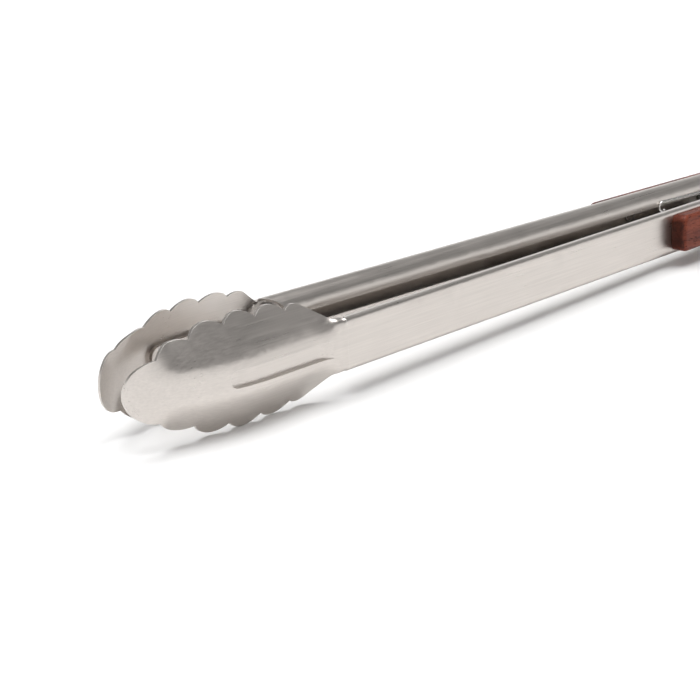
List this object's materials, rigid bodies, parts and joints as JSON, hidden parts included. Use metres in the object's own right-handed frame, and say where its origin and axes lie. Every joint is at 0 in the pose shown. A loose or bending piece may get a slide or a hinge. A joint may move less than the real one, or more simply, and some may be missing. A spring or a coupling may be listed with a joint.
{
  "type": "spring loaded kitchen tongs",
  "caption": "Long spring loaded kitchen tongs: two curled steel arms with scalloped bowl jaws and wooden grips on one pivot, held shut by a sliding lock.",
  "frame": {"origin": "under the middle of the tongs, at the height of the lowest scallop", "axes": "+X along the tongs toward the pivot, jaws at -X; +Z along the pivot pin; near arm on the -Y side"},
  "size_m": [0.522, 0.06, 0.0457],
  "materials": {
    "arm_steel": "fine brushed stainless steel",
    "grip_wood": "oiled dark reddish hardwood",
    "rivet_steel": "polished stainless rivet",
    "washer_steel": "satin stainless steel",
    "pin_steel": "turned bright steel",
    "spring_wire": "drawn spring wire",
    "strap_steel": "satin stainless strip"
  },
  "bodies": {
    "pivot": {"pivot_pin": "pin_steel", "spring_sleeve": "washer_steel", "spring_coil": "spring_wire", "top_pin_washer": "washer_steel", "bottom_pin_washer": "washer_steel", "top_lock_washer": "washer_steel", "bottom_lock_washer": "washer_steel"},
    "near_arm": {"near_arm": "arm_steel", "near_grip": "grip_wood", "near_grip_rivets": "rivet_steel", "near_rivet_washers": "washer_steel", "near_catch_pin": "pin_steel", "near_spring_leg": "spring_wire"},
    "far_arm": {"far_arm": "arm_steel", "far_grip": "grip_wood", "far_grip_rivets": "rivet_steel", "far_rivet_washers": "washer_steel", "far_catch_pin": "pin_steel", "far_spring_leg": "spring_wire"},
    "lock": {"lock_strap": "strap_steel"}
  },
  "joints": [
    {"name": "near_swing", "type": "hinge", "parent": "pivot", "child": "near_arm", "pos_m": [0.231, 0, 0.02285], "axis": [0, 0, 1], "range_deg": [-0.7, 8], "stiffness_Nm_per_rad": 0.68, "springref_deg": 37.82},
    {"name": "far_swing", "type": "hinge", "parent": "pivot", "child": "far_arm", "pos_m": [0.231, 0, 0.02285], "axis": [0, 0, -1], "range_deg": [-0.7, 8], "stiffness_Nm_per_rad": 0.68, "springref_deg": 37.82},
    {"name": "lock_slide", "type": "slide", "parent": "pivot", "child": "lock", "axis": [1, 0, 0], "range_m": [0, 0.008]}
  ],
  "couplings": [
    {"joint": "far_swing", "follows": "near_swing", "ratio": 1}
  ]
}
